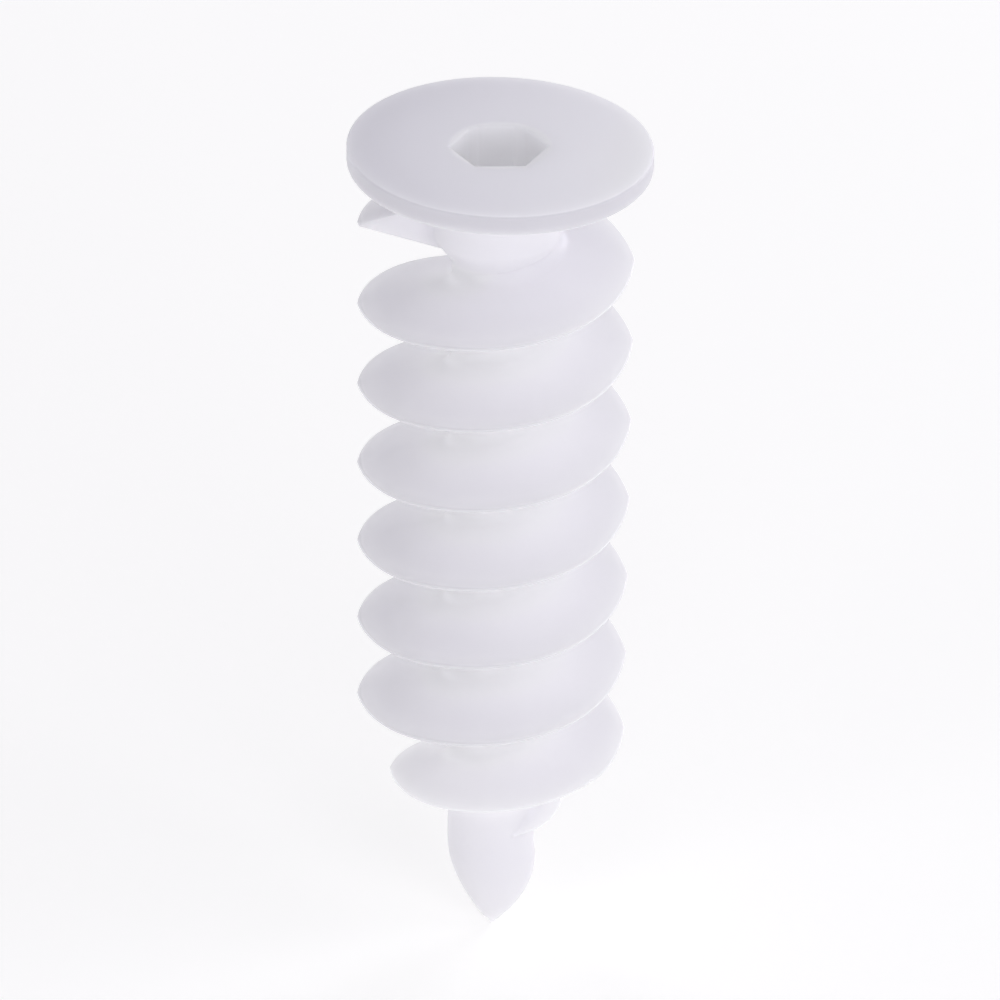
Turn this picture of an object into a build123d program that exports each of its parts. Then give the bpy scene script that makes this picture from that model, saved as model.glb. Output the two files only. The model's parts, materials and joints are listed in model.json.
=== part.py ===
from build123d import *
import os
from math import cos, radians, sin, sqrt, tan

# Spiral anchor for insulation board, in millimetres.
# The axis is Z. The origin is the centre of the flange's underside, in the plane of the board's face,
# so the flange is above z = 0 and everything that goes into the board is below it.

# Overall sizes
length_overall = 89.8
flange_diameter = 29.5
flange_thickness = 2.1
flange_top_round = 0.3
flange_bottom_round = 0.5

# Hexagonal drive socket for an 8 mm key
socket_across_flats = 8.2
socket_depth = 7.0
socket_mouth_chamfer = 0.3

# Neck that holds the socket, with a taper down to the core
neck_diameter = 12.4
neck_straight_length = 7.6
neck_taper_length = 2.7
neck_shoulder_round = 1.2

# Core and its blind bore for a 4.5 to 5 mm screw
core_diameter = 8.8
bore_diameter = 3.8
bore_lead_in_diameter = 5.4
bore_lead_in_angle = 90.0
bore_end_height = -68.0
bore_end_half_angle = 59.0

# Right-hand spiral flight: a V with a narrow crest and a rounded root
flight_diameter = 26.8
flight_pitch = 8.94
flight_flank_angle = 15.0
flight_crest_land = 0.35
flight_root_round = 1.8
flight_root_angle = 60.0
flight_root_overlap = 0.6
flight_top_height = -6.0
flight_top_angle = 184.0
full_size_turns = 6.62

# The flight's last stretch shrinks steadily, then rounds off
lead_in_shrink_turns = 0.89
lead_in_shrunk_radius = 7.1
lead_in_round_turns = 0.22
lead_in_end_radius = 4.75
lead_in_sections = 30

# Bullet-shaped tip with a small nib
tip_length = 9.0
nib_length = 0.8
nib_diameter = 1.44
nib_end_diameter = 0.32

# Sizes that follow from the ones above
neck_radius = neck_diameter / 2
core_radius = core_diameter / 2
bore_radius = bore_diameter / 2
flight_radius = flight_diameter / 2
neck_end = -(neck_straight_length + neck_taper_length)
socket_floor = flange_thickness - socket_depth
tip_end = flange_thickness - length_overall
tip_start = tip_end + tip_length
nib_start = tip_end + nib_length


def radial_plane(turn_angle, height):
    """The plane through the axis at this angle: its x runs outwards and its y runs up."""
    outward = Vector(cos(radians(turn_angle)), sin(radians(turn_angle)), 0)
    return Plane(origin=(0, 0, height), x_dir=outward, z_dir=outward.cross(Vector(0, 0, 1)))


def crest_height(turn_angle):
    """Height of the flight's crest, which rises one pitch for each counter-clockwise turn from above."""
    return flight_top_height + flight_pitch * (turn_angle - flight_top_angle) / 360


def flight_section(crest_radius):
    """The flight's section, with the axis at x = 0 and the crest centred on y = 0.

    It runs a little way into the core, which is cut away from the finished flight.
    """
    depth = crest_radius - core_radius
    inner_radius = core_radius - flight_root_overlap
    flank_slope = tan(radians(flight_flank_angle))
    root_round = min(flight_root_round, 0.9 * depth)
    run = root_round * (sin(radians(flight_root_angle)) - sin(radians(flight_flank_angle)))
    rise = root_round * (cos(radians(flight_flank_angle)) - cos(radians(flight_root_angle)))
    flank_end = flight_crest_land / 2 + (depth - run) * flank_slope
    root_half = flank_end + rise
    inwards = (-cos(radians(flight_flank_angle)), sin(radians(flight_flank_angle)))
    with BuildSketch() as section:
        with BuildLine():
            land = Line((crest_radius, -flight_crest_land / 2), (crest_radius, flight_crest_land / 2))
            upper_flank = Line(land @ 1, (core_radius + run, flank_end))
            upper_root = TangentArc(upper_flank @ 1, (core_radius, root_half), tangent=inwards)
            upper_end = Line(upper_root @ 1, (inner_radius, root_half))
            Line(upper_end @ 1, (inner_radius, -root_half))
            mirror(upper_end, about=Plane.XZ)
            mirror(upper_root, about=Plane.XZ)
            mirror(upper_flank, about=Plane.XZ)
        make_face()
    return section.face()


def lead_in_radius(turns):
    """Crest radius of the lead-in, this many turns below its start."""
    shrinking = turns / lead_in_shrink_turns
    if shrinking <= 1:
        return flight_radius + (lead_in_shrunk_radius - flight_radius) * shrinking
    rounding = (turns - lead_in_shrink_turns) / lead_in_round_turns
    fall = 1 - sqrt(max(0.0, 1 - rounding**2))
    return lead_in_shrunk_radius + (lead_in_end_radius - lead_in_shrunk_radius) * fall


# Flange: a thin disc with rounded edges and the mouth of the socket
with BuildPart() as flange:
    with BuildSketch():
        Circle(flange_diameter / 2)
    extrude(amount=flange_thickness)
    fillet(flange.edges().sort_by(Axis.Z)[-1], flange_top_round)
    fillet(flange.edges().sort_by(Axis.Z)[0], flange_bottom_round)
    with BuildSketch():
        RegularPolygon(socket_across_flats / 2, side_count=6, major_radius=False)
    extrude(amount=flange_thickness, mode=Mode.SUBTRACT)
    chamfer(flange.faces().sort_by(Axis.Z)[-1].inner_wires()[0].edges(), socket_mouth_chamfer)

# Solid outer shape of the neck and core: a collar that tapers to a cylinder
with BuildPart() as shank_blank:
    with BuildSketch(Plane.XZ):
        with BuildLine():
            FilletPolyline(
                (neck_radius, 0),
                (neck_radius, -neck_straight_length),
                (core_radius, neck_end),
                radius=neck_shoulder_round,
            )
            Polyline(
                (core_radius, neck_end),
                (core_radius, tip_start),
                (0, tip_start),
                (0, 0),
                (neck_radius, 0),
            )
        make_face()
    revolve(axis=Axis.Z)

# Neck: the collar with the socket sunk in it, and the bore's mouth in the socket's floor
with BuildPart() as drive_neck:
    add(shank_blank.part)
    split(bisect_by=Plane.XY.offset(neck_end), keep=Keep.TOP)
    with BuildSketch(Plane.XY.offset(socket_floor)):
        RegularPolygon(socket_across_flats / 2, side_count=6, major_radius=False)
    extrude(amount=-socket_floor, mode=Mode.SUBTRACT)
    with Locations((0, 0, socket_floor)):
        CounterSinkHole(
            bore_diameter / 2, bore_lead_in_diameter / 2, counter_sink_angle=bore_lead_in_angle
        )

# Core: a straight cylinder with the blind bore for the screw
with BuildPart() as core_shank:
    add(shank_blank.part)
    split(bisect_by=Plane.XY.offset(neck_end), keep=Keep.BOTTOM)
    with BuildSketch(Plane.XZ):
        with BuildLine():
            Polyline(
                (0, neck_end),
                (bore_radius, neck_end),
                (bore_radius, bore_end_height),
                (0, bore_end_height - bore_radius / tan(radians(bore_end_half_angle))),
                close=True,
            )
        make_face()
    revolve(axis=Axis.Z, mode=Mode.SUBTRACT)

# Spiral flight: the full-size section carried down a helix from its flat cut end, clear of the neck
full_section = flight_section(flight_radius)
full_end_angle = flight_top_angle - 360 * full_size_turns
full_end_height = crest_height(full_end_angle)
with BuildPart() as spiral_flight:
    with BuildSketch(radial_plane(full_end_angle, full_end_height)):
        add(full_section)
    with BuildLine(Plane.XY.offset(full_end_height)) as helix:
        Helix(flight_pitch, flight_pitch * full_size_turns, flight_radius)
    sweep(path=helix.wires()[0].rotate(Axis.Z, full_end_angle), is_frenet=True)
    add(shank_blank.part, mode=Mode.SUBTRACT)

# Lead-in flight: the last turn, lofted through sections that shrink towards the core
lead_in_turns = lead_in_shrink_turns + lead_in_round_turns
lead_in_steps = [lead_in_turns * n / lead_in_sections for n in range(lead_in_sections + 1)]
lead_in_faces = [flight_section(lead_in_radius(turns)) for turns in lead_in_steps]
with BuildPart() as lead_in_flight:
    for turns, face in zip(lead_in_steps, lead_in_faces):
        section_angle = full_end_angle - 360 * turns
        with BuildSketch(radial_plane(section_angle, crest_height(section_angle))):
            add(face)
    loft()
    add(shank_blank.part, mode=Mode.SUBTRACT)

# Drill tip: an ogive from the core to the nib
with BuildPart() as drill_tip:
    with BuildSketch(Plane.XZ):
        with BuildLine():
            ogive = TangentArc((core_radius, tip_start), (nib_diameter / 2, nib_start), tangent=(0, -1))
            Polyline(ogive @ 1, (0, nib_start), (0, tip_start), ogive @ 0)
        make_face()
    revolve(axis=Axis.Z)

# Centre point: the small nib at the very end
with BuildPart() as centre_point:
    with BuildSketch(Plane.XY.offset(nib_start)):
        Circle(nib_diameter / 2)
    with BuildSketch(Plane.XY.offset(tip_end)):
        Circle(nib_end_diameter / 2)
    loft()

pieces = {
    "flange": flange,
    "drive_neck": drive_neck,
    "core_shank": core_shank,
    "spiral_flight": spiral_flight,
    "lead_in_flight": lead_in_flight,
    "drill_tip": drill_tip,
    "centre_point": centre_point,
}
os.makedirs("parts", exist_ok=True)
for name, piece in pieces.items():
    piece.part.label = name
    export_step(piece.part, f"parts/{name}.step")
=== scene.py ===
import json
from math import cos, pi, radians, sin, sqrt, tan

import bmesh
import bpy
import numpy as np
from mathutils import Matrix, Vector


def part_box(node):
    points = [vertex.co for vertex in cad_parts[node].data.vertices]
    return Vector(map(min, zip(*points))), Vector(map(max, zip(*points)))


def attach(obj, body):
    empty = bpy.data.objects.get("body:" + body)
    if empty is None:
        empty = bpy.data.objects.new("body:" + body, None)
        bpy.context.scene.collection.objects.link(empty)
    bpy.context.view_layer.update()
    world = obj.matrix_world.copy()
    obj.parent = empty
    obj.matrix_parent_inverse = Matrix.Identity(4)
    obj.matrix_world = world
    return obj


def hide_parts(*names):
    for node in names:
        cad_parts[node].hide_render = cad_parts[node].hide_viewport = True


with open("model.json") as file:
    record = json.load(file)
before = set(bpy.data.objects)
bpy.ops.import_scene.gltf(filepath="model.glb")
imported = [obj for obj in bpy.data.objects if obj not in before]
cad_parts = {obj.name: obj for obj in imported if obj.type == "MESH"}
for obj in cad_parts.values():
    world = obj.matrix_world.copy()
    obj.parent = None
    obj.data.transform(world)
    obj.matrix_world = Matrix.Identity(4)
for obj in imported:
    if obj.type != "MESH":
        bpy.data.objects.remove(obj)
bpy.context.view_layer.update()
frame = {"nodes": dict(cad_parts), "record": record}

# The moulding is drawn in millimetres and written in metres
MM = 0.001


def box_mm(node):
    """The lowest and highest corners of a CAD node, in millimetres."""
    low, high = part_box(node)
    return low / MM, high / MM


# Sizes that come from the frame
flange_radius = box_mm("flange")[1].x
flange_top = box_mm("flange")[1].z
neck_radius = box_mm("drive_neck")[1].x
neck_end = box_mm("drive_neck")[0].z
core_radius = box_mm("core_shank")[1].x
ogive_top = box_mm("drill_tip")[1].z
flight_radius = box_mm("spiral_flight")[1].x
tip_end = box_mm("centre_point")[0].z
mounts = {mount["name"]: mount for mount in frame["record"]["mounts"]}
bore_radius = mounts["screw_bore"]["dims"]["r_mm"]
bore_length = mounts["screw_bore"]["dims"]["length_mm"]
bore_top = mounts["screw_bore"]["pos_m"][2] / MM + bore_length / 2
bore_end = bore_top - bore_length

# Flange and socket. The flange sits slightly askew and off centre, and is a little too large
flange_top_round = 0.3
flange_bottom_round = 0.5
flange_fillet = 0.8
flange_tilt = radians(1.06)
flange_shift = 0.19
flange_growth = 0.007
flange_tilt_reach = 0.5
socket_across_flats = 8.2
socket_floor = -4.9
socket_mouth_round = 0.3
socket_back_corners = 1.08
bore_mouth_radius = 2.7
bore_cone_height = 1.1

# Neck taper, then the flight: a V with a rounded crest and large round roots
taper_top = -7.0
taper_extra = 0.3
flight_pitch = 8.94
flight_top_height = -6.0
flight_top_angle = radians(184)
flight_offset = 0.12
flight_offset_angle = radians(210)
offset_fade_turns = 0.05
flank_angle = radians(15)
crest_round = 0.17
crest_round_share = 0.2
root_round = 1.5
root_round_share = 0.9

# Its flat cut end, with rounded edges, a fillet to the neck and a steeper lower flank
cut_edge_round = 0.15
cut_edge_halfway = 0.29
cut_fillet = 0.8
cut_fillet_share = 0.8
cut_proud_least = 0.002
cut_flank_angle = radians(19)
cut_flank_turns = 0.12

# Each half of the mould is relieved next to the parting plane, so that it can open
relief_share = 0.6
relief_angle = 1.2

# The last turn: a small step and a nick in the crest, a steady shrink, then a quick fall to the core
full_turns = 6.62
shrink_step = 0.33
shrink_step_turns = 0.03
crest_nick = 0.25
shrink_turns = 0.90
shrink_ease = 0.93
shrunk_radius = 7.1
fall_turns = 0.17
fall_power = 1.7
end_stand_off = 0.05
end_blend_turns = 0.15

# Tip: it leans a little to one side, and its nib is notched on the other
nib_start = -86.6
nib_notch = 0.35
nib_drop = 0.02
tip_bluntness = 1.8
tip_overshoot = 0.1
tip_lean = 0.45
lean_start = ogive_top + 1
lean_end = tip_end - 1

# Nylon: its grey or its colour in each place, and where that changes, from and to; apart from the thick
# colours and the tint, these greys hold painted light and shade as well as the nylon's own colour.
# Reaches are distances from the axis and heights are heights, in millimetres
NYLON_TINT = (0, -0.008, 0.016)
THICK_COLOURS = (0.992, 0.986, 0.998, 1), (0.999, 0.994, 1.0, 1)
# Thin: the flight greys outwards from its white root, partly as the nylon thins and partly as painted
# shade that leaves the shaded roots lighter than the crests
THIN_AND_SHADED_GREYS = 0.760, 0.772
THIN_AND_SHADED_REACH = 4.5, 13.4
# Edge and crest: painted shade that darkens the light line the rounded crest catches from the bright
# floor
EDGE_PAINTED_SHADE_GREY = 0.66
EDGE_PAINTED_SHADE_REACH = 12.2, 13.7
CREST_PAINTED_SHADE_GREY = 0.58
CREST_PAINTED_SHADE_REACH = 13.3, 13.55
# Neck: painted shade, greyer just under the flange
COLLAR_PAINTED_SHADE_GREY = 0.86
COLLAR_PAINTED_SHADE_HEIGHTS = -14, -7
SOCKET_REACH = 4.4, 5.2
# Flange's face: painted shade at its left and painted light at its right and towards its middle
PLATE_PAINTED_SHADE_LEFT_COLOUR = (0.730, 0.722, 0.748, 1)
PLATE_PAINTED_LIGHT_RIGHT_GREY = 0.935
PLATE_PAINTED_LIGHT_ACROSS = (1, -0.2, 0)
PLATE_PAINTED_LIGHT_ENDS = -15, 15
PLATE_PAINTED_LIGHT_MIDDLE_GREY = 0.95
PLATE_PAINTED_LIGHT_MIDDLE_REACH = -8, 13
SHADED_PLATE_HEIGHTS = -1.5, -0.3
# Last turn and tip: painted shade against the light from the bright floor, darker towards the end
LOW_PAINTED_SHADE_GREY = 0.70
LOW_PAINTED_SHADE_HEIGHTS = -60, -95
TIP_PAINTED_SHADE_GREYS = 0.82, 0.745
TIP_PAINTED_SHADE_FALL_HEIGHTS = -73, -87
TIP_PAINTED_SHADE_HEIGHTS = -70, -73.5
# Flange's rim: painted shade
RIM_PAINTED_SHADE_COLOUR = (0.62, 0.612, 0.64, 1)
RIM_PAINTED_SHADE_DEPTHS = 0.25, 0.05

# Its scattering, its gloss, its clouds and its grain
SCATTER_DISTANCE = 3.0
REFRACTION = 1.53
ROUGHNESS = 0.38, 0.5
CLOUD_SCALE = 110
CLOUD_DETAIL = 4
CLOUD_RANGE = 0.35, 0.65
GRAIN_SCALE = 2200
GRAIN_DETAIL = 2
GRAIN_HEIGHT = 0.05
GRAIN_STRENGTH = 0.08

# Floor and light
FLOOR_SIZE = 4.0
FLOOR_GAP = 0.2
FLOOR_COLOUR = (0.94, 0.94, 0.90, 1)
FLOOR_GLOW = 0.27
FLOOR_ROUGHNESS = 0.9
WORLD_STRENGTH = 0.446
LIGHT_COLOUR = (0.945, 0.935, 1.0)
LIGHT_SIZE = 0.5
LIGHT_DISTANCE = 0.9
LIGHT_HEIGHT = -0.04

# Camera: a long lens, a little to the left of the front
CAMERA_TURN = radians(-2.53)
CAMERA_ELEVATION = radians(30.268)
CAMERA_ROLL = radians(0.674)
CAMERA_TARGET = (0.551, 0, -37.45)
CAMERA_DISTANCE = 696.2
CAMERA_LENS = 252.7
SENSOR_WIDTH = 36
NEAR_CLIP = 0.01
FAR_CLIP = 50

# Mesh density: columns in a turn, rows on each half of the flight, and rings elsewhere
COLUMNS = 180
STRIP_TURNS = 7.8
FLAT_ROWS = 3
ROOT_ROWS = 8
FLANK_ROWS = 7
CREST_ROWS = 4
NECK_RINGS = 4
FILLET_RINGS = 6
UNDERSIDE_RINGS = 8
RIM_RINGS = 3
EDGE_RINGS = 5
TOP_RINGS = 12
WALL_RINGS = 8
SOCKET_FLOOR_RINGS = 3
BORE_RINGS = 10
OGIVE_RINGS = 24
NIB_RINGS = 8
WELD_DISTANCE = 0.0001
CRISP_ANGLE = radians(32)
HALF_ROWS = FLAT_ROWS + ROOT_ROWS + FLANK_ROWS + CREST_ROWS
ROWS = 2 * HALF_ROWS

flank_slope = tan(flank_angle)
sharp_radius = flight_radius + crest_round * (1 / sin(flank_angle) - 1)
flight_turns = full_turns + shrink_turns + fall_turns

# The strip is the flight with the core: it starts above the cut end and stops below the last turn
strip_top = flight_top_height + flight_pitch / 2
last_full_column = round(COLUMNS * STRIP_TURNS)
nick_column = round(COLUMNS * full_turns) + 1
strip_bottom = flight_top_height - flight_pitch * (last_full_column / COLUMNS + 0.5)


def crest_height(turns):
    """Height of the crest, this many turns below the cut end."""
    return flight_top_height - flight_pitch * turns


def base_radius(z):
    """Radius of the neck, the core and the ogive under the flight."""
    t = np.clip((taper_top - z) / (taper_top - neck_end + taper_extra), 0, 1)
    radius = neck_radius + (core_radius - neck_radius) * t * t * (3 - 2 * t)
    drop = np.maximum(ogive_top - z, 0) / (ogive_top - tip_end + tip_overshoot)
    return radius - core_radius * drop ** tip_bluntness


def lean(z):
    """How far the tip stands off the axis at this height."""
    along = (lean_start - z) / (lean_start - lean_end)
    return tip_lean * sin(pi * min(1, max(0, along)))


def last_turn_radius(turns):
    """Where the flanks would meet on the last turn: it shrinks steadily, then falls to the core."""
    spare = sharp_radius - flight_radius
    stepped = flight_radius - shrink_step
    t = (turns - full_turns) / shrink_turns
    if t <= 1:
        return stepped + (shrunk_radius - stepped) * t ** shrink_ease + spare
    t = min(1, (t - 1) * shrink_turns / fall_turns)
    full = shrunk_radius + spare
    return full + (core_radius + end_stand_off - full) * t ** fall_power


def crest_radius(turns):
    """Where the flanks would meet, this many turns below the cut end."""
    step_start = full_turns - shrink_step_turns
    step_end = full_turns + shrink_step_turns
    if turns <= step_start:
        return sharp_radius
    if turns <= step_end:
        t = (turns - step_start) / (step_end - step_start)
        return sharp_radius - (sharp_radius - last_turn_radius(step_end)) * t * t
    return last_turn_radius(turns)


def relief(angle):
    """How much a flank is cut back, this angle into its half of the mould."""
    if angle >= relief_angle:
        return 0.0
    return relief_share * flight_pitch / (2 * pi) * angle * (1 - angle / relief_angle) ** 2


def offset(turns):
    """How far the flight stands off the core's axis at this point, which is nothing on its last turn."""
    turned = flight_top_angle - 2 * pi * turns
    fade = min(1, max(0, (full_turns - turns) / offset_fade_turns))
    return flight_offset * (1 + cos(turned - flight_offset_angle)) * fade


def half_profile(apex, cut, crest, side, swell):
    """Points (radius, height off the crest) from the groove's middle to the crest, on one side.

    The apex is where the flanks would meet, and the cut is how far this flank is set back. The crest
    is its round's centre and size, the radius where the flank meets it, its height and its shift.
    The side is -1 for the lower flank. The swell makes the flank steeper towards the root.
    """
    centre, size, tangent, height, shift = crest

    # The root stands on a surface that may taper, so its place is found in a few rounds
    base = core_radius
    for _ in range(3):
        root = min(root_round, root_round_share * (tangent - base) / (1 - sin(flank_angle)))
        root = max(root, 0.0)
        middle = (apex - base - root) * flank_slope - cut + root / cos(flank_angle)
        middle += swell * (tangent - base)
        base = float(base_radius(height + side * middle))
    points = []
    for n in range(FLAT_ROWS):
        rise = flight_pitch / 2 + (middle - flight_pitch / 2) * n / FLAT_ROWS
        points.append((float(base_radius(height + side * rise)), rise))
    for n in range(ROOT_ROWS):
        turn = (pi / 2 - flank_angle) * n / ROOT_ROWS
        radius = base + root - root * cos(turn)
        points.append((radius, middle - root * sin(turn) - swell * (radius - base)))
    radius = base + root - root * sin(flank_angle)
    start = (radius, middle - root * cos(flank_angle) - swell * (radius - base))
    end = (tangent, (apex - tangent) * flank_slope - cut)
    for n in range(FLANK_ROWS):
        t = n / FLANK_ROWS
        points.append((start[0] + (end[0] - start[0]) * t, start[1] + (end[1] - start[1]) * t))
    for n in range(CREST_ROWS):
        turn = (pi / 2 - flank_angle) * (1 - n / CREST_ROWS)
        points.append((centre + size * cos(turn), side * shift + size * sin(turn)))
    return points


def flight_profile(turns, inset=0.0):
    """Radius and height of each row of one column, from the groove below to the groove above."""
    turned = flight_top_angle - 2 * pi * turns
    angle = turned % pi
    low_cut = relief(pi - angle) + inset / cos(flank_angle)
    high_cut = relief(angle) + inset / cos(flank_angle)
    apex = crest_radius(turns) + offset(turns)
    meet = apex - (low_cut + high_cut) / (2 * flank_slope)
    round_size = min(crest_round, crest_round_share * max(0.0, meet - core_radius))
    centre = meet - round_size / sin(flank_angle)
    tangent = centre + round_size * sin(flank_angle)
    height = crest_height(turns)
    crest = (centre, round_size, tangent, height, (low_cut - high_cut) / 2)
    swell = (tan(cut_flank_angle) - flank_slope) * max(0, 1 - turns / cut_flank_turns) ** 2
    low = half_profile(apex, low_cut, crest, -1, swell)
    high = half_profile(apex, high_cut, crest, 1, 0)
    radii = [r for r, _ in low] + [centre + round_size] + [r for r, _ in reversed(high)]
    rises = [-v for _, v in low] + [crest[4]] + [v for _, v in reversed(high)]
    return np.array(radii), height + np.array(rises)


def column_rows(column):
    """Radius and height of each row of a column; beyond either end of the flight they are even."""
    turns = column / COLUMNS
    low = max(crest_height(turns) - flight_pitch / 2, strip_bottom)
    high = min(crest_height(turns) + flight_pitch / 2, strip_top)
    even = low + (high - low) * np.arange(ROWS + 1) / ROWS
    if turns < 0:
        # The fillet between the neck and the cut end
        radii = base_radius(even)
        beyond = max(0, cut_fillet + turns * 2 * pi * neck_radius)
        proud = np.interp(even, *reversed(flight_profile(0.0, cut_edge_round))) - radii
        return radii + np.clip(proud, 0, cut_fillet - sqrt(cut_fillet**2 - beyond**2)), even
    if turns > flight_turns:
        return base_radius(even), even
    radii, heights = flight_profile(turns)
    if column == nick_column:
        radii = np.minimum(radii, radii.max() - crest_nick)

    # Near its end the flight's rows turn into even ones
    share = np.clip((turns - flight_turns + end_blend_turns) / end_blend_turns, 0, 1)
    share = share * share * (3 - 2 * share)
    mixed = heights + (even - heights) * share
    return np.maximum(np.interp(mixed, heights, radii), base_radius(mixed)), mixed


def place(radius, turns, z):
    """The point at this radius and height, this many turns below the cut end."""
    angle = flight_top_angle - 2 * pi * turns
    return (radius * cos(angle) + lean(z), radius * sin(angle), z)


class Skin:
    """The points and faces of the moulding's one closed surface."""

    def __init__(self):
        self.points = []
        self.faces = []

    def point(self, position):
        """One more point; returns its number."""
        self.points.append(position)
        return len(self.points) - 1

    def band(self, first, second, closed=True):
        """Faces between two rows of points; faces with a side of no length lose it."""
        count = len(first) if closed else len(first) - 1
        for n in range(count):
            m = (n + 1) % len(first)
            corners = [first[n], first[m], second[m], second[n]]
            face = [c for k, c in enumerate(corners) if c != corners[k - 1]]
            if len(face) > 2:
                self.faces.append(face)

    def ring(self, radius, z):
        """One row of points round the axis; radius is a number, or a function of the angle."""
        row = []
        for column in range(COLUMNS):
            turns = column / COLUMNS
            size = radius(flight_top_angle - 2 * pi * turns) if callable(radius) else radius
            row.append(self.point(place(size, turns, z)))
        return row

    def rings(self, row, rings):
        """Bands on from this row through rings of (radius, height). Returns the last row."""
        for radius, z in rings:
            after = self.ring(radius, z)
            self.band(row, after)
            row = after
        return row

    def fan(self, row, centre):
        """Triangles that close a row at a point."""
        middle = self.point(centre)
        for n, corner in enumerate(row):
            self.faces.append([corner, row[(n + 1) % len(row)], middle])


def grid(skin):
    """The rows of points of every column; a column's top point is the bottom one a turn above it.

    The first and the last column are one point each, where the strip runs out.
    """
    columns = {}
    last = last_full_column + COLUMNS
    for column in range(-COLUMNS, last + 1):
        turns = column / COLUMNS
        radii, heights = column_rows(column)
        upper = columns[column - COLUMNS][0] if column >= 0 else None
        if column == -COLUMNS:
            columns[column] = [skin.point(place(radii[0], turns, heights[0]))] * (ROWS + 1)
            continue
        if column == last:
            columns[column] = [upper] * (ROWS + 1)
            continue
        row = [skin.point(place(r, turns, z)) for r, z in zip(radii[:ROWS], heights[:ROWS])]
        if upper is None:
            upper = skin.point(place(radii[ROWS], turns, heights[ROWS]))
        columns[column] = row + [upper]
    return columns


def cut_end(skin, columns):
    """The rows of points of the flight's flat cut end, from the neck to its rounded edge."""
    radii, heights = flight_profile(0.0, cut_edge_round)
    flat = base_radius(heights)
    proud = radii - flat > cut_proud_least
    behind = []
    for j, shared in enumerate(columns[0]):
        if not proud[j]:
            behind.append(shared)
            if j < ROWS:
                skin.points[shared] = place(flat[j], 0.0, heights[j])
        else:
            fillet = min(cut_fillet, cut_fillet_share * (radii[j] - flat[j]))
            behind.append(skin.point(place(flat[j] + fillet, 0.0, heights[j])))
    chain = [behind]
    for inset, behind_cut in ((1, 0), (cut_edge_halfway, cut_edge_halfway), (0, 1)):
        radii, heights = flight_profile(0.0, cut_edge_round * inset)
        turns = behind_cut * cut_edge_round / (2 * pi * flight_radius)
        drop = flight_pitch * turns
        edge = []
        for j, shared in enumerate(behind):
            if not proud[j]:
                edge.append(shared)
            else:
                edge.append(skin.point(place(radii[j], turns, heights[j] - drop)))
        chain.append(edge)
    return chain


def strip(skin):
    """The flight with the core, from its top circle to its bottom circle. Returns both circles."""
    columns = grid(skin)
    chain = cut_end(skin, columns)
    last = last_full_column + COLUMNS
    for column in range(-COLUMNS, last):
        right = columns[column + 1] if column != -1 else chain[0]
        left = columns[column] if column != 0 else chain[-1]
        skin.band(left, right, closed=False)
    for left, right in zip(chain, chain[1:]):
        skin.band(left, right, closed=False)

    # Both circles start at the angle of the cut end, like every ring
    top = [columns[n][ROWS] for n in (0, *range(1 - COLUMNS, 0))]
    shift = last_full_column % COLUMNS
    bottom = [columns[last_full_column + (n - shift) % COLUMNS][0] for n in range(COLUMNS)]
    return top, bottom


def steps(start, end, count):
    """Evenly spaced values from the start, left out, to the end."""
    return [start + (end - start) * n / count for n in range(1, count + 1)]


def arc_points(centre, radius, start, end, count):
    """Points (radius, height) along an arc of a turned profile, without its first."""
    turns = [radians(turn) for turn in steps(start, end, count)]
    return [(centre[0] + radius * cos(t), centre[1] + radius * sin(t)) for t in turns]


def socket_radius(angle, across):
    """Distance from the axis to the socket's wall at this angle; its two back corners are rounded."""
    wall = across / 2 / cos(angle % radians(60) - radians(30))
    if radians(30) < angle % (2 * pi) < radians(150):
        wall = min(wall, socket_back_corners * across / 2)
    return wall


def socket_ring(across, z, outer=0.0, share=0.0):
    """A ring of the socket's outline, this share of the way to a circle of the outer radius."""
    return lambda a: socket_radius(a, across) * (1 - share) + outer * share, z


def head_outline():
    """Turned profile (radius, height) of the neck and the flange, up to the edge of its top face."""
    fillet_start = neck_radius + flange_fillet
    underside_end = flange_radius - flange_bottom_round
    top_start = flange_top - flange_top_round
    outline = [(neck_radius, z) for z in steps(strip_top, -flange_fillet, NECK_RINGS)]
    outline += arc_points((fillet_start, -flange_fillet), flange_fillet, 180, 90, FILLET_RINGS)
    outline += [(radius, 0) for radius in steps(fillet_start, underside_end, UNDERSIDE_RINGS)]
    outline += arc_points((underside_end, flange_bottom_round), flange_bottom_round, -90, 0, FILLET_RINGS)
    outline += [(flange_radius, z) for z in steps(flange_bottom_round, top_start, RIM_RINGS)]
    top_end = flange_radius - flange_top_round
    outline += arc_points((top_end, top_start), flange_top_round, 0, 90, EDGE_RINGS)
    return outline


def head(skin, row):
    """From the strip's top circle: the neck, the flange and the socket, down to the bore's end."""
    row = skin.rings(row, head_outline())
    top_edge = flange_radius - flange_top_round
    mouth = socket_across_flats + 2 * socket_mouth_round
    wall_top = flange_top - socket_mouth_round
    row = skin.rings(row, [
        socket_ring(mouth, flange_top, top_edge, 1 - share) for share in steps(0, 1, TOP_RINGS)
    ])
    row = skin.rings(row, [
        socket_ring(mouth - 2 * socket_mouth_round * sin(t), wall_top + socket_mouth_round * cos(t))
        for t in steps(0, pi / 2, EDGE_RINGS)
    ])
    row = skin.rings(row, [
        socket_ring(socket_across_flats, z) for z in steps(wall_top, socket_floor, WALL_RINGS)
    ])
    row = skin.rings(row, [
        socket_ring(socket_across_flats, socket_floor, bore_mouth_radius, share)
        for share in steps(0, 1, SOCKET_FLOOR_RINGS)
    ])
    row = skin.rings(row, [
        (bore_radius, z) for z in [bore_top] + steps(bore_top, bore_end, BORE_RINGS)
    ])
    skin.fan(row, (0, 0, bore_end - bore_cone_height))


def tip_ring(z):
    """A ring of the tip at this height, where the nib is notched on its left."""
    notch = nib_notch if z < nib_start else 0
    return lambda a: float(base_radius(z)) * (1 - notch * max(0, -cos(a))), z


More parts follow.
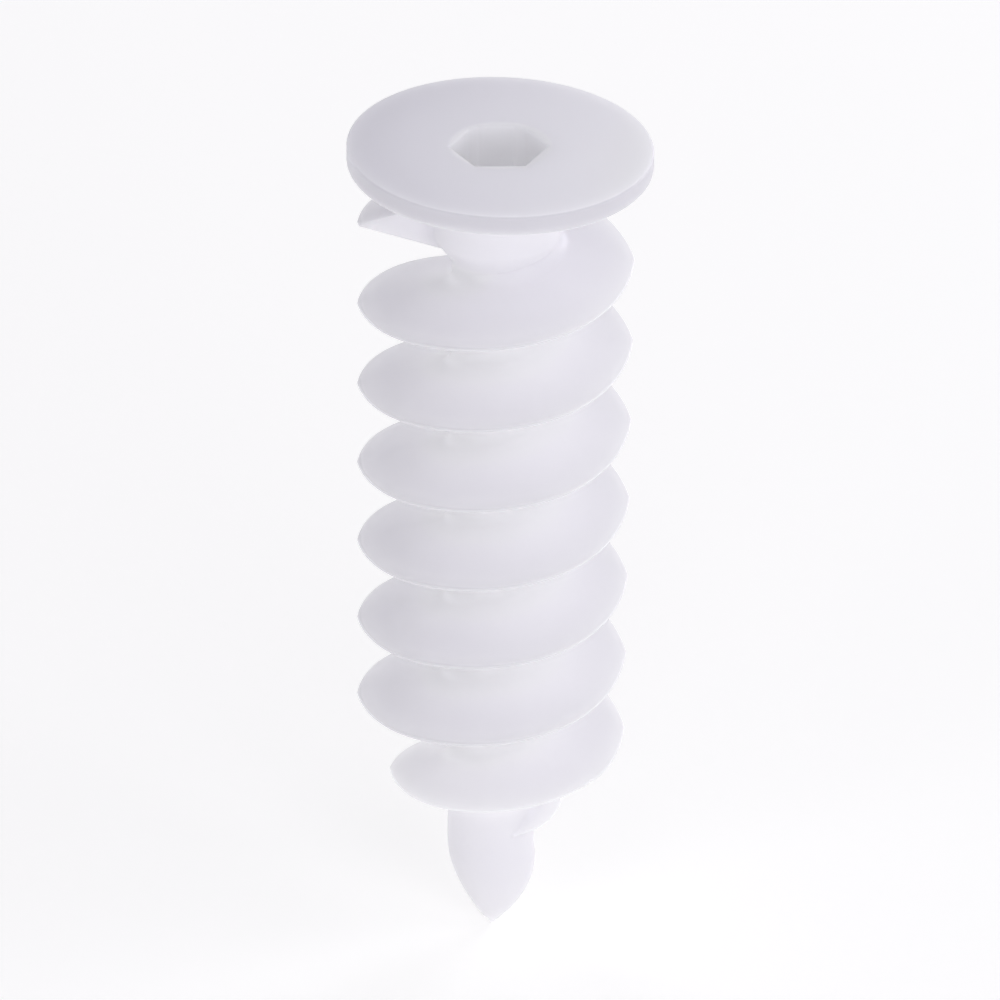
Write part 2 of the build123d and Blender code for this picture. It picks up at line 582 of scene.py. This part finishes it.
def tip(skin, row):
    """From the strip's bottom circle: the rest of the tip, with its notch just below the nib's root."""
    nib = [nib_start] + steps(nib_start, tip_end, NIB_RINGS)[:-1]
    heights = steps(strip_bottom, nib_start, OGIVE_RINGS) + [z - nib_drop for z in nib]
    row = skin.rings(row, [tip_ring(z) for z in heights])
    skin.fan(row, (lean(tip_end), 0, tip_end))


def warped(point):
    """The flange sits slightly askew and off centre, more and more from the neck outwards."""
    x, y, z = point
    reach = max(0, sqrt(x * x + y * y) - neck_radius) / (flange_radius - neck_radius)
    if z > -flange_fillet and reach > 0:
        z -= x * tan(flange_tilt) * min(1, reach / flange_tilt_reach)
        x += flange_shift * reach
        x, y = x * (1 + flange_growth * reach), y * (1 + flange_growth * reach)
    return x, y, z


def moulding():
    """The whole anchor as one closed mesh, as it comes out of its mould."""
    skin = Skin()
    top, bottom = strip(skin)
    head(skin, top)
    tip(skin, bottom)
    mesh = bpy.data.meshes.new("anchor_moulding")
    mesh.from_pydata([Vector(warped(p)) * MM for p in skin.points], [], skin.faces)
    mesh.validate()
    mesh.update()
    piece = bpy.data.objects.new("anchor_moulding", mesh)
    bpy.context.scene.collection.objects.link(piece)
    return piece


def finish_mesh(piece):
    """Outward faces, smooth shading and crisp edges."""
    work = bmesh.new()
    work.from_mesh(piece.data)
    bmesh.ops.remove_doubles(work, verts=work.verts, dist=WELD_DISTANCE * MM)
    bmesh.ops.recalc_face_normals(work, faces=work.faces)
    work.to_mesh(piece.data)
    work.free()
    piece.data.polygons.foreach_set("use_smooth", [True] * len(piece.data.polygons))
    piece.data.set_sharp_from_angle(angle=CRISP_ANGLE)


def grey(level):
    """A grey of this level with the nylon's slight violet tint."""
    return tuple(level + tint for tint in NYLON_TINT) + (1,)


class Shades:
    """Colours that change from place to place, made of nodes in one material."""

    def __init__(self, tree):
        self.nodes, self.links = tree.nodes, tree.links

    def share(self, value, low, high, kind="SMOOTHSTEP"):
        """From 0 to 1 while the value goes from low to high."""
        step = self.nodes.new("ShaderNodeMapRange")
        step.interpolation_type = kind
        step.inputs["From Min"].default_value = low
        step.inputs["From Max"].default_value = high
        self.links.new(value, step.inputs["Value"])
        return step.outputs["Result"]

    def along(self, value, low, high, kind="SMOOTHSTEP"):
        """The same for a length, with its two ends in millimetres."""
        return self.share(value, low * MM, high * MM, kind)

    def blend(self, share, first, second):
        """One colour turning into another; each is a colour or a socket."""
        mix = self.nodes.new("ShaderNodeMix")
        mix.data_type = "RGBA"
        self.links.new(share, mix.inputs["Factor"])
        for name, colour in (("A", first), ("B", second)):
            socket = [s for s in mix.inputs if s.name == name and s.type == "RGBA"][0]
            if isinstance(colour, tuple):
                socket.default_value = colour
            else:
                self.links.new(colour, socket)
        return [s for s in mix.outputs if s.type == "RGBA"][0]

    def noise(self, where, scale, detail):
        """Soft noise; the scale is in cycles per metre."""
        texture = self.nodes.new("ShaderNodeTexNoise")
        texture.inputs["Scale"].default_value = scale
        texture.inputs["Detail"].default_value = detail
        self.links.new(where, texture.inputs["Vector"])
        return texture.outputs["Fac"]

    def vector_math(self, operation, where, second=None, third=None):
        """One step of vector arithmetic on a place."""
        step = self.nodes.new("ShaderNodeVectorMath")
        step.operation = operation
        self.links.new(where, step.inputs[0])
        if second:
            step.inputs[1].default_value = second
        if third:
            step.inputs[2].default_value = third
        return step.outputs


def body_colour_with_painted_shade(shades, where, cloud):
    """Whitest where the moulding is thick, greyer towards the edges of the flight and the flange, partly
    from the nylon's thinness and partly as painted light and shade.

    Each blend is laid over the one before it, from the inside out.
    """
    flat = shades.vector_math("MULTIPLY_ADD", where, (1, 1, 0), (-flange_shift * MM, 0, 0))["Vector"]
    radius = shades.vector_math("LENGTH", flat)["Value"]
    across = shades.vector_math("DOT_PRODUCT", where, PLATE_PAINTED_LIGHT_ACROSS)["Value"]
    split = shades.nodes.new("ShaderNodeSeparateXYZ")
    shades.links.new(where, split.inputs["Vector"])
    height = split.outputs["Z"]

    # Thick and thin, with faint clouds in the milky body; the flight greys outwards to its crest, partly
    # as the nylon thins and partly as painted shade that leaves the shaded roots lighter than the crests
    clouds = shades.share(cloud, *CLOUD_RANGE)
    thick = shades.blend(clouds, *THICK_COLOURS)
    thin_and_shaded = shades.blend(clouds, *map(grey, THIN_AND_SHADED_GREYS))
    outside_socket = shades.along(radius, *SOCKET_REACH)

    # Painted shade on the flight's edge and crest, which catch a light line from below, and on the neck
    # under the flange
    thin_and_shaded = shades.blend(shades.along(radius, *EDGE_PAINTED_SHADE_REACH), thin_and_shaded, grey(EDGE_PAINTED_SHADE_GREY))
    thin_and_shaded = shades.blend(shades.along(radius, *CREST_PAINTED_SHADE_REACH), thin_and_shaded, grey(CREST_PAINTED_SHADE_GREY))
    shaded_collar = shades.blend(shades.along(height, *COLLAR_PAINTED_SHADE_HEIGHTS), thick, grey(COLLAR_PAINTED_SHADE_GREY))
    shaded_collar = shades.blend(outside_socket, thick, shaded_collar)
    body = shades.blend(shades.along(radius, *THIN_AND_SHADED_REACH, "LINEAR"), shaded_collar, thin_and_shaded)

    # The flange's face: painted light and shade, greyer at its left as if lit from the right, and lighter
    # towards its middle
    painted_light_rightwards = shades.along(across, *PLATE_PAINTED_LIGHT_ENDS, "LINEAR")
    shaded_plate = shades.blend(painted_light_rightwards, PLATE_PAINTED_SHADE_LEFT_COLOUR, grey(PLATE_PAINTED_LIGHT_RIGHT_GREY))
    outwards = shades.along(radius, *PLATE_PAINTED_LIGHT_MIDDLE_REACH, "LINEAR")
    shaded_plate = shades.blend(outwards, grey(PLATE_PAINTED_LIGHT_MIDDLE_GREY), shaded_plate)
    shaded_plate = shades.blend(outside_socket, thick, shaded_plate)
    body = shades.blend(shades.along(height, *SHADED_PLATE_HEIGHTS), body, shaded_plate)

    # Painted shade on the last turn and the tip, which stand nearest to the bright floor and would come
    # out too light
    body = shades.blend(shades.along(height, *LOW_PAINTED_SHADE_HEIGHTS, "LINEAR"), body, grey(LOW_PAINTED_SHADE_GREY))
    end = shades.blend(shades.along(height, *TIP_PAINTED_SHADE_FALL_HEIGHTS, "LINEAR"), *map(grey, TIP_PAINTED_SHADE_GREYS))
    body = shades.blend(shades.along(height, *TIP_PAINTED_SHADE_HEIGHTS), body, end)

    # Painted shade on the flange's rim, which the lights leave brighter than its face
    rim_radius = flange_radius * (1 + flange_growth)
    painted_rim_shade = shades.along(radius, rim_radius - RIM_PAINTED_SHADE_DEPTHS[0], rim_radius - RIM_PAINTED_SHADE_DEPTHS[1])
    return shades.blend(painted_rim_shade, body, RIM_PAINTED_SHADE_COLOUR)


def nylon():
    """Natural nylon: milky and cool white, with a satin moulded skin, and painted light and shade in its
    colour.
    """
    material = bpy.data.materials.new("milky_nylon")
    material.use_nodes = True
    shades = Shades(material.node_tree)
    shader = shades.nodes["Principled BSDF"]
    shader.inputs["Subsurface Weight"].default_value = 1.0
    shader.inputs["Subsurface Radius"].default_value = (1.0, 1.0, 1.0)
    shader.inputs["Subsurface Scale"].default_value = SCATTER_DISTANCE * MM
    shader.inputs["IOR"].default_value = REFRACTION
    where = shades.nodes.new("ShaderNodeTexCoord").outputs["Object"]
    cloud = shades.noise(where, CLOUD_SCALE, CLOUD_DETAIL)
    shades.links.new(body_colour_with_painted_shade(shades, where, cloud), shader.inputs["Base Color"])

    # The skin: slightly uneven gloss and a very fine grain
    gloss = shades.nodes.new("ShaderNodeMapRange")
    gloss.inputs["To Min"].default_value = ROUGHNESS[0]
    gloss.inputs["To Max"].default_value = ROUGHNESS[1]
    shades.links.new(cloud, gloss.inputs["Value"])
    shades.links.new(gloss.outputs["Result"], shader.inputs["Roughness"])
    bump = shades.nodes.new("ShaderNodeBump")
    bump.inputs["Strength"].default_value = GRAIN_STRENGTH
    bump.inputs["Distance"].default_value = GRAIN_HEIGHT * MM
    shades.links.new(shades.noise(where, GRAIN_SCALE, GRAIN_DETAIL), bump.inputs["Height"])
    shades.links.new(bump.outputs["Normal"], shader.inputs["Normal"])
    return material


def floor():
    """A wide pale floor under the tip, lit evenly like a light table."""
    mesh = bpy.data.meshes.new("floor")
    size = FLOOR_SIZE / 2
    z = (tip_end - FLOOR_GAP) * MM
    corners = [(-size, -size, z), (size, -size, z), (size, size, z), (-size, size, z)]
    mesh.from_pydata(corners, [], [(0, 1, 2, 3)])
    piece = bpy.data.objects.new("floor", mesh)
    bpy.context.scene.collection.objects.link(piece)
    material = bpy.data.materials.new("pale_floor")
    material.use_nodes = True
    shader = material.node_tree.nodes["Principled BSDF"]
    shader.inputs["Base Color"].default_value = FLOOR_COLOUR
    shader.inputs["Roughness"].default_value = FLOOR_ROUGHNESS
    shader.inputs["Emission Color"].default_value = (1, 1, 1, 1)
    shader.inputs["Emission Strength"].default_value = FLOOR_GLOW
    mesh.materials.append(material)


def soft_light(name, azimuth, elevation, power):
    """A round soft light, turned towards the anchor's middle from this direction."""
    data = bpy.data.lights.new(name, "AREA")
    data.shape = "DISK"
    data.size = LIGHT_SIZE
    data.energy = power
    data.color = LIGHT_COLOUR
    light = bpy.data.objects.new(name, data)
    turn, rise = radians(azimuth), radians(elevation)
    away = Vector((cos(turn) * cos(rise), sin(turn) * cos(rise), sin(rise)))
    light.location = Vector((0, 0, LIGHT_HEIGHT)) + away * LIGHT_DISTANCE
    light.rotation_euler = (-away).to_track_quat("-Z", "Y").to_euler()
    bpy.context.scene.collection.objects.link(light)


def studio():
    """Even soft light from all round, a little stronger from the right and the front."""
    world = bpy.data.worlds.new("studio")
    world.use_nodes = True
    background = world.node_tree.nodes["Background"]
    background.inputs["Color"].default_value = (*LIGHT_COLOUR, 1)
    background.inputs["Strength"].default_value = WORLD_STRENGTH
    bpy.context.scene.world = world
    soft_light("right", azimuth=0, elevation=12, power=0.9)
    soft_light("right_back", azimuth=45, elevation=12, power=1.75)
    soft_light("left_back", azimuth=135, elevation=12, power=1.0)
    soft_light("left_front", azimuth=225, elevation=12, power=1.05)
    soft_light("right_front", azimuth=297, elevation=10, power=1.7)
    soft_light("high_back", azimuth=90, elevation=50, power=0.58)
    soft_light("high_front", azimuth=270, elevation=50, power=0.55)
    soft_light("high_right", azimuth=330, elevation=50, power=0.62)
    bpy.context.scene.view_settings.view_transform = "Standard"


def camera():
    """A long lens, about 30 degrees above the anchor's middle, turned and rolled slightly."""
    target = Matrix.Rotation(CAMERA_TURN, 3, "Z") @ Vector(CAMERA_TARGET) * MM
    across = Vector((cos(CAMERA_TURN), sin(CAMERA_TURN), 0))
    flat = Vector((-sin(CAMERA_TURN), cos(CAMERA_TURN), 0))
    ahead = flat * cos(CAMERA_ELEVATION) - Vector((0, 0, sin(CAMERA_ELEVATION)))
    up = flat * sin(CAMERA_ELEVATION) + Vector((0, 0, cos(CAMERA_ELEVATION)))
    right = across * cos(CAMERA_ROLL) + up * sin(CAMERA_ROLL)
    above = up * cos(CAMERA_ROLL) - across * sin(CAMERA_ROLL)
    data = bpy.data.cameras.new("camera")
    data.sensor_width = SENSOR_WIDTH
    data.lens = CAMERA_LENS
    data.clip_start = NEAR_CLIP
    data.clip_end = FAR_CLIP
    view = bpy.data.objects.new("camera", data)
    placed = Matrix((right, above, -ahead)).transposed()
    view.matrix_world = Matrix.Translation(target - ahead * CAMERA_DISTANCE * MM) @ placed.to_4x4()
    bpy.context.scene.collection.objects.link(view)
    bpy.context.scene.camera = view


camera()
studio()
floor()
anchor = moulding()
finish_mesh(anchor)
anchor.data.materials.append(nylon())
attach(anchor, "root")
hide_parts(*frame["nodes"])
